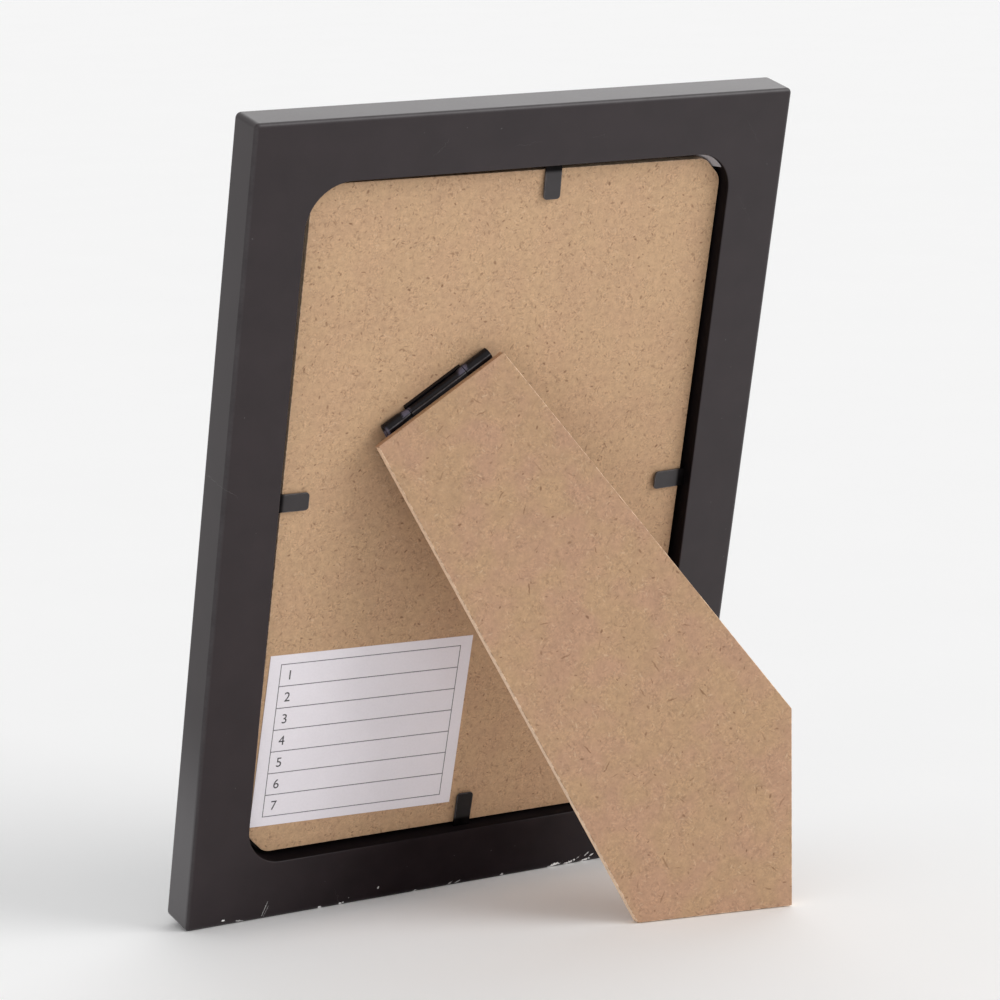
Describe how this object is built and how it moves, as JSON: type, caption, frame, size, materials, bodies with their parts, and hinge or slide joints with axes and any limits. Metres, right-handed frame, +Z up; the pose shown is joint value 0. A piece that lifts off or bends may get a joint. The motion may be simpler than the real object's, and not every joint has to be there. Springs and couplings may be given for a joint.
{
  "type": "easel back photo frame",
  "caption": "Black tabletop photo frame with glass, fibreboard backboard held by flex tabs, and a hinged fibreboard easel strut that folds flat for storage.",
  "frame": {"origin": "on the ground, under the middle of the standing frame's box", "axes": "+Z up, the picture faces -Y, the strut stands out towards +Y; seen from behind, +X is to the left"},
  "size_m": [0.13, 0.0664, 0.1774],
  "materials": {
    "frame_paint": "satin black paint",
    "glass": "clear",
    "insert_paper": "matte",
    "fibreboard": "raw fibreboard",
    "label_paper": "matte",
    "black_metal": "satin black",
    "tack_steel": "dull",
    "tab_metal": "satin black"
  },
  "bodies": {
    "frame": {"frame": "frame_paint", "glass": "glass", "picture_insert": "insert_paper", "backboard": "fibreboard", "label": "label_paper", "hinge_back_leaf": "black_metal", "hinge_pin": "black_metal", "back_leaf_tacks": "tack_steel", "top_tab_root": "tab_metal", "bottom_tab_root": "tab_metal", "left_tab_root": "tab_metal", "right_tab_root": "tab_metal"},
    "strut": {"strut": "fibreboard", "hinge_strut_leaf": "black_metal", "strut_leaf_tacks": "tack_steel"},
    "top_tab": {"top_tab": "tab_metal"},
    "bottom_tab": {"bottom_tab": "tab_metal"},
    "left_tab": {"left_tab": "tab_metal"},
    "right_tab": {"right_tab": "tab_metal"}
  },
  "joints": [
    {"name": "strut_hinge", "type": "hinge", "parent": "frame", "child": "strut", "pos_m": [0.0154, 0.00228, 0.11524], "axis": [-0.8406, 0.1186, 0.5286], "range_deg": [0, 22]},
    {"name": "top_tab_bend", "type": "hinge", "parent": "frame", "child": "top_tab", "pos_m": [-0.0081, 0.01169, 0.16242], "axis": [1, 0, 0], "range_deg": [0, 85]},
    {"name": "bottom_tab_bend", "type": "hinge", "parent": "frame", "child": "bottom_tab", "pos_m": [-0.0034, -0.02162, 0.01401], "axis": [-1, 0, 0], "range_deg": [0, 85]},
    {"name": "left_tab_bend", "type": "hinge", "parent": "frame", "child": "left_tab", "pos_m": [0.05105, -0.00359, 0.09437], "axis": [0, -0.219, -0.9757], "range_deg": [0, 85]},
    {"name": "right_tab_bend", "type": "hinge", "parent": "frame", "child": "right_tab", "pos_m": [-0.05105, -0.0047, 0.08939], "axis": [0, 0.219, 0.9757], "range_deg": [0, 85]}
  ]
}
